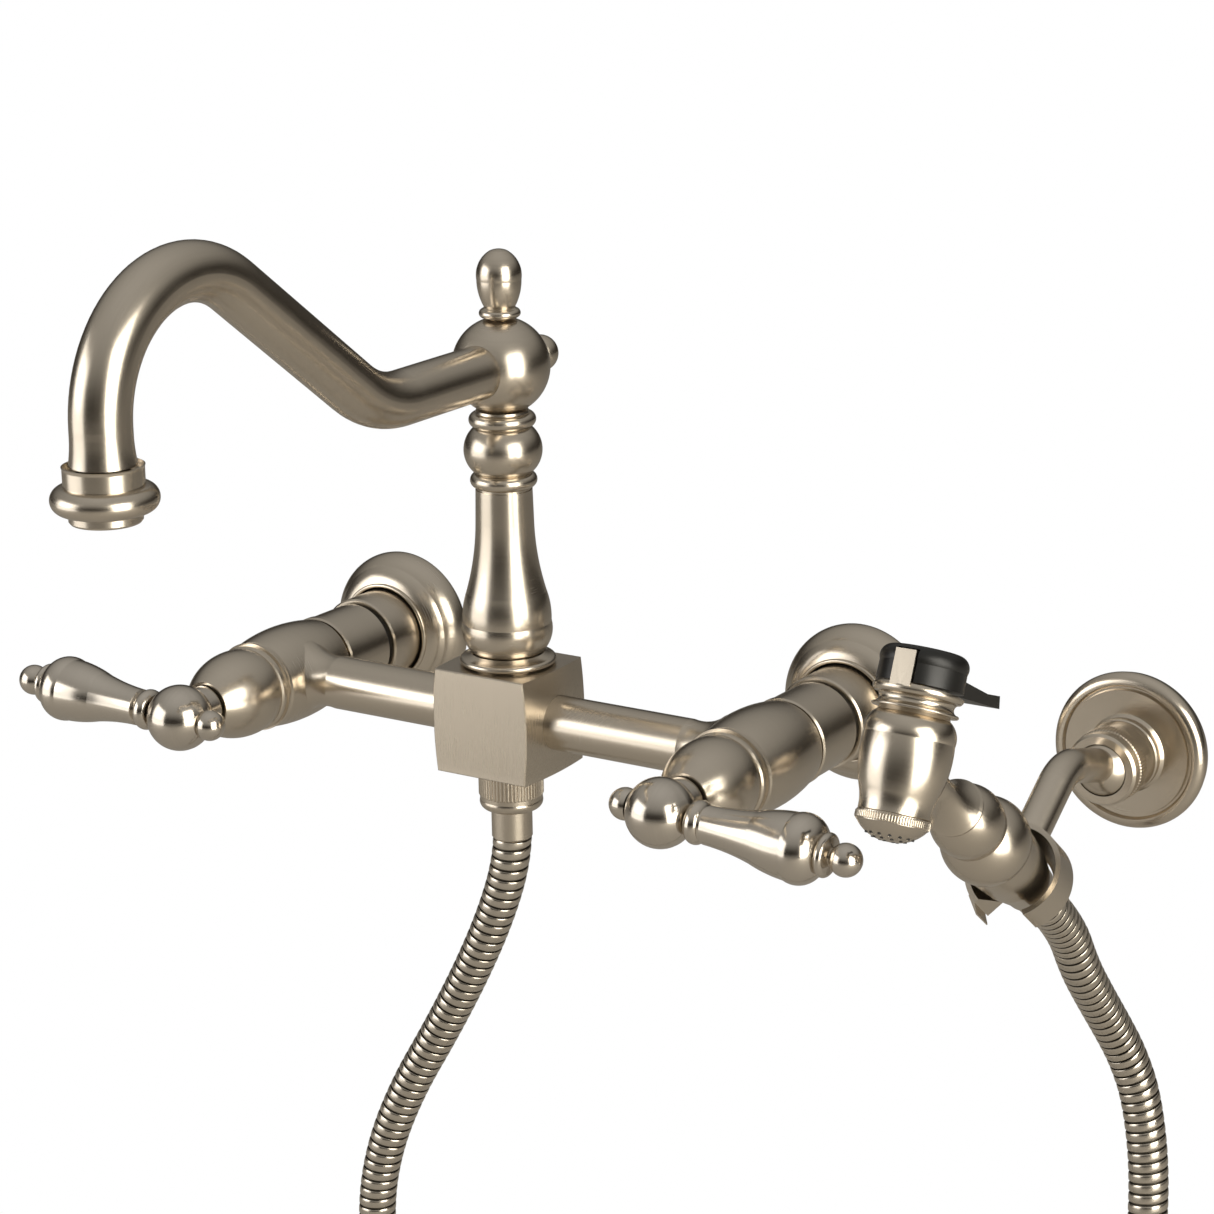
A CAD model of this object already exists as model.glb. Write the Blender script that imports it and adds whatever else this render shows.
import bpy
import bmesh
import math
from mathutils import Matrix, Vector


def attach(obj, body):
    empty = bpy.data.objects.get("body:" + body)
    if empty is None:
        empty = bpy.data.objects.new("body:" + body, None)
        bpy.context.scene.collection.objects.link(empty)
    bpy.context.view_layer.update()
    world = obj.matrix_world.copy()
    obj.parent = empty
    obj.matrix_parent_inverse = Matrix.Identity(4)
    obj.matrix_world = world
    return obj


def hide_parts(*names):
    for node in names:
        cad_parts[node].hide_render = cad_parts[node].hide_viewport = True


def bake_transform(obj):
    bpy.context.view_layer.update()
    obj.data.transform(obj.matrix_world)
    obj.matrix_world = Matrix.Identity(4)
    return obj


# Looks of the wall-mounted bridge faucet: procedural metal on the CAD nodes, knurled rings,
# the ribbed hose, the camera and the studio. Metres, in the CAD frame.

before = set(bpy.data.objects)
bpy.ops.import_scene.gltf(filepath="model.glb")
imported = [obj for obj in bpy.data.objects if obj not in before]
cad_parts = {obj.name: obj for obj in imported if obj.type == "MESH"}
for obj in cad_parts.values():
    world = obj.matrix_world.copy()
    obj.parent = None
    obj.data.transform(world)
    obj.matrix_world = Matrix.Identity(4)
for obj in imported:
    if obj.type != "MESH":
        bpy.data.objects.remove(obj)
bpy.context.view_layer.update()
scene = bpy.context.scene

MM = 0.001
POST_Y = -0.0778            # centre post, mixer block and spout axis
VALVE_X = 0.1016            # valve axes lie this far left and right of the post
HUB_Y = -0.1395             # centre of the lever hubs
KNOB_Z = 0.128              # axis of the knob behind the ball
OUTLET_Y = POST_Y - 0.2093  # axis of the spout's outlet
HOLDER_X = 0.2088           # spray holder and spray

SPRAY_SLOPE = math.radians(38.6)
HANDLE_DIR = Vector((0, math.cos(SPRAY_SLOPE), -math.sin(SPRAY_SLOPE)))
RIM = Vector((HOLDER_X, -0.1134, 0.0))
HANDLE_END = 0.034          # from the rim to the end of the spray's handle
CONNECTOR = 0.018           # length of the cone nut after it

HEAD_TILT = math.radians(24.0)
HEAD_DOWN = Vector((0, -math.sin(HEAD_TILT), -math.cos(HEAD_TILT)))
HEAD_TOP = Vector((HOLDER_X, -0.1655, 0.0637))


# ---- mesh helpers -------------------------------------------------------------------------
def add_piece(mesh, name, sharp_degrees=None):
    """Object made from a bmesh; smooth up to the given angle, or flat without one."""
    bmesh.ops.recalc_face_normals(mesh, faces=mesh.faces)
    data = bpy.data.meshes.new(name)
    mesh.to_mesh(data)
    mesh.free()
    if sharp_degrees is not None:
        data.shade_smooth()
        data.set_sharp_from_angle(angle=math.radians(sharp_degrees))
    piece = bpy.data.objects.new(name, data)
    scene.collection.objects.link(piece)
    return piece


def skin_rings(mesh, rings):
    """Faces between successive rings of vertices, and from the last ring back to the first."""
    for a, b in zip(rings, rings[1:] + rings[:1]):
        for i in range(len(a)):
            k = (i + 1) % len(a)
            mesh.faces.new((a[i], a[k], b[k], b[i]))


# ---- camera -------------------------------------------------------------------------------
def add_camera():
    data = bpy.data.cameras.new("camera")
    data.sensor_width = 36.0
    data.lens = 97.15
    data.shift_x = -0.0219
    data.shift_y = 0.0139
    data.clip_start = 0.05
    data.clip_end = 20.0
    camera = bpy.data.objects.new("camera", data)
    right = Vector((0.8481, 0.5296, -0.0125))
    up = Vector((-0.1392, 0.2455, 0.9594))
    back = Vector((0.5112, -0.8119, 0.2819))
    turn = Matrix((right, up, back)).transposed().to_4x4()
    camera.matrix_world = Matrix.Translation((0.63619, -1.00361, 0.36341)) @ turn
    scene.collection.objects.link(camera)
    scene.camera = camera


add_camera()


# ---- hose ---------------------------------------------------------------------------------
HOSE_R = 0.0071
HOSE_SIDES = 32
FRAME_STEP = 0.001          # spacing of the line that the strip is wound on
PATH_STEP = 0.004           # spacing of the path declared for each cord
RIB_PITCH = 0.0039
RIB_DEPTH = 0.0009
# one turn of the strip: share of the pitch, and share of the groove's depth
RIB_ROWS = [(0.0, 1.0), (0.10, 1.0), (0.12, 0.25), (0.18, 0.06), (0.35, 0.0), (0.65, 0.0),
            (0.84, 0.06), (0.90, 0.25), (0.92, 1.0)]
END_RUN = 0.024             # the hose's last stretch in line with the spray's handle
# control points in millimetres, from the ferrule under the block to the spray
HOSE_ROUTE = [
    (0.0, -77.8, -46.3), (-0.6, -77.8, -56.0), (-8.0, -77.8, -78.0), (-19.0, -78.3, -102.0),
    (-33.5, -79.0, -129.0), (-48.0, -82.0, -155.0), (-58.0, -85.0, -181.0),
    (-62.0, -87.0, -208.0), (-60.0, -87.0, -254.0), (-42.0, -83.0, -310.0),
    (-6.0, -76.0, -366.0), (52.0, -66.0, -404.0), (116.0, -53.0, -398.0),
    (170.0, -41.0, -350.0), (200.0, -31.0, -290.0), (218.0, -22.0, -234.0),
    (225.5, -15.0, -188.0), (224.5, -10.5, -154.0), (220.0, -9.5, -126.0),
    (215.3, -12.5, -109.5), (212.0, -20.0, -95.8), (210.0, -30.5, -81.5), (209.2, -42.5, -66.5),
]
HOSE_SPLIT = 16             # the loop's part ends halfway after this control point


def hose_line():
    """The loop's and the end's points, read from one NURBS spline along the whole route."""
    route = [Vector(p) * MM for p in HOSE_ROUTE]
    split = (route[HOSE_SPLIT] + route[HOSE_SPLIT + 1]) * 0.5
    tail = HANDLE_END + CONNECTOR
    route += [RIM + HANDLE_DIR * (tail + END_RUN), RIM + HANDLE_DIR * tail]
    data = bpy.data.curves.new("hose_route", "CURVE")
    data.dimensions = "3D"
    data.resolution_u = 24
    spline = data.splines.new("NURBS")
    spline.points.add(len(route) - 1)
    for point, place in zip(spline.points, route):
        point.co = (*place, 1.0)
    spline.order_u = 3
    spline.use_endpoint_u = True
    carrier = bpy.data.objects.new("hose_route", data)
    scene.collection.objects.link(carrier)
    bpy.context.view_layer.update()
    mesh = bpy.data.meshes.new_from_object(carrier)
    line = [v.co.copy() for v in mesh.vertices]
    bpy.data.objects.remove(carrier)
    bpy.data.meshes.remove(mesh)
    nearest = min(range(len(line)), key=lambda i: (line[i] - split).length)
    return line[:nearest + 1], line[nearest:]


def spaced(line, step):
    """The same line with points every step metres, and its length."""
    lengths = [0.0]
    for a, b in zip(line, line[1:]):
        lengths.append(lengths[-1] + (b - a).length)
    total = lengths[-1]
    count = max(2, round(total / step))
    points = []
    seg = 0
    for i in range(count + 1):
        want = total * i / count
        while seg < len(line) - 2 and lengths[seg + 1] < want:
            seg += 1
        span = lengths[seg + 1] - lengths[seg]
        share = (want - lengths[seg]) / span if span > 0 else 0.0
        points.append(line[seg].lerp(line[seg + 1], min(1.0, share)))
    return points, total


def tube_frames(points):
    """A tangent and two side directions at each point, carried along without twist."""
    frames = []
    side = None
    for i, point in enumerate(points):
        ahead = points[min(i + 1, len(points) - 1)]
        behind = points[max(i - 1, 0)]
        tangent = (ahead - behind).normalized()
        if side is None:
            side = tangent.orthogonal().normalized()
        else:
            side = (side - tangent * side.dot(tangent)).normalized()
        frames.append((point, side, tangent.cross(side)))
    return frames


def along_line(frames, step, distance):
    """Centre and two side directions at a distance along evenly spaced frames."""
    place = min(max(distance / step, 0.0), len(frames) - 1.000001)
    index = int(place)
    share = place - index
    return [a.lerp(b, share) for a, b in zip(frames[index], frames[index + 1])]


def hose_piece(name, line, start_length):
    """Strip-wound hose: flat bands with a narrow groove between them, on a helix."""
    points, length = spaced(line, FRAME_STEP)
    step = length / (len(points) - 1)
    frames = tube_frames(points)
    first_turn = -1.0 - (start_length / RIB_PITCH) % 1.0
    turns = int(length / RIB_PITCH) + 3
    mesh = bmesh.new()
    rows = []
    for turn in range(turns):
        for phase, depth in RIB_ROWS:
            row = []
            for j in range(HOSE_SIDES):
                place = (first_turn + turn + phase + j / HOSE_SIDES) * RIB_PITCH
                centre, u, v = along_line(frames, step, min(max(place, 0.0), length))
                angle = 2.0 * math.pi * j / HOSE_SIDES
                out = u * math.cos(angle) + v * math.sin(angle)
                row.append(mesh.verts.new(centre + out * (HOSE_R - RIB_DEPTH * depth)))
            rows.append(row)
    per_turn = len(RIB_ROWS)
    for i in range(len(rows) - 1):
        groove = 1 if i % per_turn in (0, 1, per_turn - 2, per_turn - 1) else 0
        for j in range(HOSE_SIDES - 1):
            face = (rows[i][j], rows[i][j + 1], rows[i + 1][j + 1], rows[i + 1][j])
            mesh.faces.new(face).material_index = groove
        if i + per_turn + 1 < len(rows):
            face = (rows[i][-1], rows[i + per_turn][0], rows[i + per_turn + 1][0], rows[i + 1][-1])
            mesh.faces.new(face).material_index = groove
    bmesh.ops.remove_doubles(mesh, verts=mesh.verts, dist=0.000002)
    return add_piece(mesh, name, 38), length, spaced(line, PATH_STEP)[0]


def add_hoses():
    first, second = hose_line()
    loop, loop_length, loop_path = hose_piece("hose_loop_ribs", first, 0.0)
    end, end_length, end_path = hose_piece("hose_end_ribs", second, loop_length)
    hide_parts("hose_loop")
    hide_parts("hose_end")
    # blended sideways only, so that the hose stays on its ferrule when the holder swivels
    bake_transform(loop)
    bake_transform(end)
    return [loop, end]


hoses = add_hoses()


# ---- knurled bands ------------------------------------------------------------------------
def knurled_band(name, body, base, direction, heights, radius, teeth, depth):
    """Grip band of straight teeth, its ends chamfered down to the part that it sits on."""
    low, high = heights
    inner = radius - 0.0004
    foot = radius - depth * 0.2
    chamfer = 0.0005
    outline = [(low, inner, 0.0), (low, foot, 0.0), (low + chamfer, radius + depth, 1.0),
               (high - chamfer, radius + depth, 1.0), (high, foot, 0.0), (high, inner, 0.0)]
    tooth = (0.0, 0.85, 1.0, 1.0, 0.85, 0.0)
    steps = teeth * len(tooth)
    mesh = bmesh.new()
    rings = []
    turn = Vector((0, 0, 1)).rotation_difference(Vector(direction))
    for height, reach, toothed in outline:
        ring = []
        for i in range(steps):
            angle = 2.0 * math.pi * i / steps
            drop = depth * 1.1 * (1.0 - tooth[i % len(tooth)]) * toothed
            local = Vector((math.cos(angle), math.sin(angle), 0.0)) * (reach - drop)
            ring.append(mesh.verts.new(Vector(base) + turn @ (local + Vector((0, 0, height)))))
        rings.append(ring)
    skin_rings(mesh, rings)
    piece = add_piece(mesh, name)
    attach(piece, body)
    return piece


hose_nut_knurl = knurled_band("hose_nut_knurl", "faucet_body", (0, POST_Y, 0), (0, 0, 1),
                              (-0.0296, -0.0205), 0.0114, 56, 0.00042)
socket_knurl = knurled_band("socket_nut_knurl", "faucet_body", (HOLDER_X, 0, 0), (0, -1, 0),
                            (0.0187, 0.0243), 0.0127, 72, 0.00042)
face_knurl = knurled_band("spray_ring_knurl", "spray", HEAD_TOP, HEAD_DOWN,
                          (0.0359, 0.0386), 0.0113, 84, 0.00032)


# ---- small dark pieces --------------------------------------------------------------------
def lathe(mesh, outline, base, direction, sides):
    """Add a ring turned from a closed outline of (height, radius) points to a mesh."""
    turn = Vector((0, 0, 1)).rotation_difference(Vector(direction))
    rings = []
    for height, radius in outline:
        ring = []
        for i in range(sides):
            angle = 2.0 * math.pi * i / sides
            local = Vector((radius * math.cos(angle), radius * math.sin(angle), height))
            ring.append(mesh.verts.new(Vector(base) + turn @ local))
        rings.append(ring)
    skin_rings(mesh, rings)


def rubber_piece(mesh, name, body):
    piece = add_piece(mesh, name, 40)
    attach(piece, body)
    return piece


def spray_nozzles():
    """Dark rubber inserts in the spray holes, just proud of the face."""
    root, radius, edge, core = 0.0378, 0.00055, 0.00045, 0.00001
    mesh = bmesh.new()
    back = Vector((0, math.cos(HEAD_TILT), -math.sin(HEAD_TILT)))
    for count, reach, top in ((6, 0.0026, 0.0440), (10, 0.0050, 0.0435), (14, 0.0072, 0.0425)):
        outline = [(root, radius), (top - 0.0001, radius), (top, edge), (top, core), (root, core)]
        for i in range(count):
            angle = 2.0 * math.pi * i / count
            side = back * math.cos(angle) + Vector((1, 0, 0)) * math.sin(angle)
            lathe(mesh, outline, HEAD_TOP + side * reach, HEAD_DOWN, 10)
    return rubber_piece(mesh, "spray_nozzles", "spray")


def wall_gasket(side, word):
    """Foam gasket between the wall and an escutcheon, round the inlet coupling."""
    mesh = bmesh.new()
    outline = [(0.0004, 0.0142), (0.0004, 0.0268), (0.0016, 0.0269), (0.0022, 0.0262),
               (0.0024, 0.0240), (0.0024, 0.0160), (0.0020, 0.0142)]
    lathe(mesh, outline, (side * VALVE_X, 0, 0), (0, -1, 0), 72)
    return rubber_piece(mesh, "wall_gasket_" + word, "faucet_body")


dark_pieces = [spray_nozzles(), wall_gasket(-1, "hot"), wall_gasket(1, "cold")]


# ---- materials ----------------------------------------------------------------------------
def new_material(name):
    material = bpy.data.materials.new(name)
    material.use_nodes = True
    tree = material.node_tree
    shader = tree.nodes["Principled BSDF"]
    return material, tree, shader


def math_node(tree, operation, a, b=None):
    """Output of a math node; each input is a number or another node's output."""
    node = tree.nodes.new("ShaderNodeMath")
    node.operation = operation
    for socket, value in zip(node.inputs, (a, b)):
        if value is None:
            continue
        if isinstance(value, (int, float)):
            socket.default_value = value
        else:
            tree.links.new(value, socket)
    return node.outputs[0]


def turned_coordinates(tree, base, direction, around, along):
    """Vector that changes fast along a part's axis and slowly round it, for lathe marks."""
    coords = tree.nodes.new("ShaderNodeTexCoord")
    mapping = tree.nodes.new("ShaderNodeMapping")
    mapping.vector_type = "TEXTURE"
    mapping.inputs["Location"].default_value = base
    turn = Vector((0, 0, 1)).rotation_difference(Vector(direction)).to_euler()
    mapping.inputs["Rotation"].default_value = turn
    tree.links.new(coords.outputs["Object"], mapping.inputs["Vector"])
    split = tree.nodes.new("ShaderNodeSeparateXYZ")
    tree.links.new(mapping.outputs[0], split.inputs[0])
    x, y, z = split.outputs
    radius = math_node(tree, "SQRT", math_node(tree, "ADD", math_node(tree, "MULTIPLY", x, x),
                                               math_node(tree, "MULTIPLY", y, y)))
    join = tree.nodes.new("ShaderNodeCombineXYZ")
    tree.links.new(math_node(tree, "MULTIPLY", x, around), join.inputs[0])
    tree.links.new(math_node(tree, "MULTIPLY", y, around), join.inputs[1])
    height = math_node(tree, "ADD", z, radius)
    tree.links.new(math_node(tree, "MULTIPLY", height, along), join.inputs[2])
    return join.outputs[0]


def straight_coordinates(tree, scale):
    """Object coordinates scaled per axis, for straight brushing or an even texture."""
    coords = tree.nodes.new("ShaderNodeTexCoord")
    mapping = tree.nodes.new("ShaderNodeMapping")
    mapping.inputs["Scale"].default_value = scale
    tree.links.new(coords.outputs["Object"], mapping.inputs["Vector"])
    return mapping.outputs[0]


def noise(tree, vector, scale, detail):
    node = tree.nodes.new("ShaderNodeTexNoise")
    node.inputs["Scale"].default_value = scale
    node.inputs["Detail"].default_value = detail
    tree.links.new(vector, node.inputs["Vector"])
    return node.outputs[0]


def ramp(tree, factor, stops):
    """Colour read from (place, colour) stops."""
    node = tree.nodes.new("ShaderNodeValToRGB")
    elements = node.color_ramp.elements
    for element, (place, colour) in zip(elements, (stops[0], stops[-1])):
        element.position = place
        element.color = (*colour, 1.0)
    for place, colour in stops[1:-1]:
        elements.new(place).color = (*colour, 1.0)
    tree.links.new(factor, node.inputs[0])
    return node.outputs[0]


def spread(tree, factor, low, high, from_low=0.3, from_high=0.7):
    """A factor stretched to run from low to high."""
    node = tree.nodes.new("ShaderNodeMapRange")
    node.inputs["From Min"].default_value = from_low
    node.inputs["From Max"].default_value = from_high
    node.inputs["To Min"].default_value = low
    node.inputs["To Max"].default_value = high
    tree.links.new(factor, node.inputs["Value"])
    return node.outputs[0]


def add_relief(tree, shader, height, strength):
    relief = tree.nodes.new("ShaderNodeBump")
    relief.inputs["Strength"].default_value = strength
    relief.inputs["Distance"].default_value = 0.0002
    tree.links.new(height, relief.inputs["Height"])
    tree.links.new(relief.outputs[0], shader.inputs["Normal"])


def metal(name, grain_vector, tint, rough, grain=0.012, bump=0.005):
    """Plated metal: faint directional brushing, cloudy sheen and lighter worn edges."""
    material, tree, shader = new_material(name)
    vector = grain_vector(tree)
    fine = noise(tree, vector, 1.0, 2.0)
    clouds = noise(tree, straight_coordinates(tree, (1, 1, 1)), 30.0, 2.0)
    dark = [c * 0.975 for c in tint]
    light = [min(1.0, c * 1.02) for c in tint]
    colour = ramp(tree, fine, [(0.30, dark), (0.70, light)])
    geometry = tree.nodes.new("ShaderNodeNewGeometry")
    edge = spread(tree, geometry.outputs["Pointiness"], 0.0, 0.5, 0.53, 0.64)
    mix = tree.nodes.new("ShaderNodeMix")
    mix.data_type = "RGBA"
    tree.links.new(edge, mix.inputs["Factor"])
    tree.links.new(colour, mix.inputs["A"])
    mix.inputs["B"].default_value = (*[min(1.0, c * 1.12 + 0.03) for c in tint], 1.0)
    tree.links.new(mix.outputs["Result"], shader.inputs["Base Color"])
    shader.inputs["Metallic"].default_value = 1.0
    coarse = math_node(tree, "ADD", spread(tree, fine, -grain, grain),
                       spread(tree, clouds, rough - 0.015, rough + 0.02))
    tree.links.new(coarse, shader.inputs["Roughness"])
    add_relief(tree, shader, fine, bump)
    return material


def plastic(name, tint, rough, bump=0.06):
    """Moulded plastic with a fine texture and slight unevenness."""
    material, tree, shader = new_material(name)
    grainy = noise(tree, straight_coordinates(tree, (1, 1, 1)), 900.0, 3.0)
    clouds = noise(tree, straight_coordinates(tree, (1, 1, 1)), 60.0, 2.0)
    colour = ramp(tree, clouds, [(0.3, [c * 0.85 for c in tint]), (0.7, [c * 1.15 for c in tint])])
    tree.links.new(colour, shader.inputs["Base Color"])
    tree.links.new(spread(tree, clouds, rough - 0.04, rough + 0.05), shader.inputs["Roughness"])
    add_relief(tree, shader, grainy, bump)
    return material


def turned_metal(name, base, direction, tint, rough, **more):
    """Metal with lathe marks round an axis through base."""
    def vector(tree):
        return turned_coordinates(tree, base, direction, 60.0, 5200.0)
    return metal(name, vector, tint, rough, **more)


def straight_metal(name, scale, tint, rough, **more):
    """Metal with straight brushing."""
    def vector(tree):
        return straight_coordinates(tree, scale)
    return metal(name, vector, tint, rough, **more)


NICKEL = (0.61, 0.545, 0.455)
BRIGHT_NICKEL = (0.64, 0.585, 0.51)
HOSE_STEEL = (0.62, 0.565, 0.485)
GROOVE_SHADE = (0.10, 0.088, 0.07)
STEEL = (0.55, 0.55, 0.54)
BRASS = (0.70, 0.52, 0.25)
BLACK = (0.006, 0.0058, 0.005)
WHITE = (0.62, 0.62, 0.58)
RUBBER = (0.02, 0.02, 0.02)
SATIN = 0.245               # roughness of the satin and of the bright plating
BRIGHT = 0.175


def paint(material, *nodes):
    """Give CAD nodes one material in place of their own."""
    for node in nodes:
        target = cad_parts[node]
        target.data.materials.clear()
        target.data.materials.append(material)


def satin(name, base, direction):
    return turned_metal("satin_nickel_" + name, base, direction, NICKEL, SATIN)


def paint_all():
    for side, word in ((-1, "hot"), (1, "cold")):
        x = side * VALVE_X
        valve = satin("valve_" + word, (x, 0, 0), (0, 1, 0))
        paint(valve, *[part + word for part in ("wall_flange_", "inlet_coupling_", "union_sleeve_",
                                                "valve_body_", "bonnet_")])
        lever = turned_metal("bright_nickel_lever_" + word, (x, HUB_Y, 0), (1, 0, 0),
                             BRIGHT_NICKEL, BRIGHT, grain=0.01, bump=0.006)
        paint(lever, *[part + word for part in ("handle_hub_", "lever_", "lever_screw_")])

    post = satin("post", (0, POST_Y, 0), (0, 0, 1))
    paint(post, "spout_nut", "spout_column", "spout_rings", "ball_hub", "finial", "hose_nut",
          "hose_ferrule")
    paint(satin("knob", (0, POST_Y, KNOB_Z), (0, 1, 0)), "rear_knob")
    paint(satin("outlet", (0, OUTLET_Y, 0), (0, 0, 1)),
          "outlet_collar", "outlet_ring", "aerator_shell")
    paint(straight_metal("satin_nickel_spout", (5200.0, 90.0, 90.0), NICKEL, SATIN), "spout_tube")
    paint(straight_metal("satin_nickel_block", (8000.0, 8000.0, 60.0), NICKEL, 0.28,
                         grain=0.015, bump=0.01), "mixer_block")

    holder = satin("holder", (HOLDER_X, 0, 0), (0, 1, 0))
    paint(holder, "holder_flange", "holder_plate", "socket_nut", "swivel_ball", "holder_arm")
    paint(satin("spray_handle", RIM, HANDLE_DIR), "spray_handle", "spray_connector", "holder_ring")
    head = satin("spray_head", HEAD_TOP, HEAD_DOWN)
    paint(head, "spray_head", "spray_collar", "spray_ring", "spray_plate")
    for piece, material in ((hose_nut_knurl, post), (socket_knurl, holder), (face_knurl, head)):
        piece.data.materials.append(material)

    paint(plastic("black_plastic", BLACK, 0.36, 0.03), "spray_lever")
    paint(plastic("white_plastic", WHITE, 0.45), "aerator_screen")
    paint(turned_metal("stainless_pin", HEAD_TOP, (1, 0, 0), STEEL, 0.25), "spray_lever_pin")
    paint(turned_metal("bare_brass", (0, 0, 0), (0, 1, 0), BRASS, 0.3),
          "cartridge_hot", "cartridge_cold", "spindle_hot", "spindle_cold",
          "diverter_plunger", "diverter_seat", "spray_valve")
    rubber = plastic("seal_rubber", RUBBER, 0.7)
    for piece in dark_pieces:
        piece.data.materials.append(rubber)
    paint(rubber, "cartridge_seals", "union_washers", "spout_seals")

    even = (700.0, 700.0, 700.0)
    hose_metal = straight_metal("hose_metal", even, HOSE_STEEL, 0.23, bump=0.01)
    groove = straight_metal("hose_groove", even, GROOVE_SHADE, 0.5, bump=0.01)
    for piece in hoses:
        piece.data.materials.append(hose_metal)
        piece.data.materials.append(groove)


paint_all()


# ---- studio -------------------------------------------------------------------------------
LIGHT_AIM = Vector((0.03, -0.1, 0.03))
SOFT_WHITE = (1.0, 0.98, 0.95)
WARM_WHITE = (1.0, 0.96, 0.87)
FLOOR_Z = -0.47
FLOOR_HALF = 6.0


def area_light(name, place, width, height, power, tint):
    """Soft rectangular light aimed at the middle of the object."""
    data = bpy.data.lights.new(name, "AREA")
    data.shape = "RECTANGLE"
    data.size = width
    data.size_y = height
    data.energy = power
    data.color = tint
    light = bpy.data.objects.new(name, data)
    toward = LIGHT_AIM - Vector(place)
    light.rotation_euler = toward.to_track_quat("-Z", "Y").to_euler()
    light.location = place
    scene.collection.objects.link(light)


def add_world():
    """White behind the object, and a dim room whose ceiling is a little lighter all round it."""
    world = bpy.data.worlds.new("studio")
    scene.world = world
    world.use_nodes = True
    tree = world.node_tree
    background = tree.nodes["Background"]
    direction = tree.nodes.new("ShaderNodeTexCoord")
    parts = tree.nodes.new("ShaderNodeSeparateXYZ")
    tree.links.new(direction.outputs["Generated"], parts.inputs[0])
    # from straight down to straight up
    stops = [(0.0, (0.09, 0.075, 0.06)), (0.46, (0.025, 0.021, 0.017)),
             (0.57, (0.04, 0.035, 0.03)), (0.74, (0.31, 0.30, 0.28)), (1.0, (0.50, 0.49, 0.47))]
    room = ramp(tree, spread(tree, parts.outputs[2], 0.0, 1.0, -1.0, 1.0), stops)
    path = tree.nodes.new("ShaderNodeLightPath")
    mix = tree.nodes.new("ShaderNodeMix")
    mix.data_type = "RGBA"
    tree.links.new(room, mix.inputs["A"])
    mix.inputs["B"].default_value = (1.0, 1.0, 1.0, 1.0)
    tree.links.new(path.outputs["Is Camera Ray"], mix.inputs["Factor"])
    tree.links.new(mix.outputs["Result"], background.inputs["Color"])


def add_floor():
    """Plain pale floor well below the hose, seen near white and dim in reflections."""
    mesh = bpy.data.meshes.new("floor")
    corners = [(x * FLOOR_HALF, y * FLOOR_HALF, FLOOR_Z)
               for x, y in ((-1, -1), (1, -1), (1, 1), (-1, 1))]
    mesh.from_pydata(corners, [], [(0, 1, 2, 3)])
    floor = bpy.data.objects.new("floor", mesh)
    scene.collection.objects.link(floor)
    material, tree, shader = new_material("pale_floor")
    shader.inputs["Base Color"].default_value = (0.45, 0.43, 0.40, 1.0)
    shader.inputs["Roughness"].default_value = 0.9
    glow = tree.nodes.new("ShaderNodeEmission")
    glow.inputs["Color"].default_value = (1.0, 1.0, 1.0, 1.0)
    path = tree.nodes.new("ShaderNodeLightPath")
    mix = tree.nodes.new("ShaderNodeMixShader")
    tree.links.new(path.outputs["Is Camera Ray"], mix.inputs[0])
    tree.links.new(shader.outputs[0], mix.inputs[1])
    tree.links.new(glow.outputs[0], mix.inputs[2])
    tree.links.new(mix.outputs[0], tree.nodes["Material Output"].inputs["Surface"])
    mesh.materials.append(material)


add_world()
add_floor()
area_light("key_left", (-1.42, -1.50, 0.22), 1.9, 1.9, 18.5, SOFT_WHITE)
area_light("core_left", (-1.42, -1.50, 0.55), 0.9, 0.7, 6.0, SOFT_WHITE)
area_light("side_right", (1.85, -0.75, 0.42), 1.3, 1.9, 41.0, WARM_WHITE)
scene.view_settings.view_transform = "Standard"
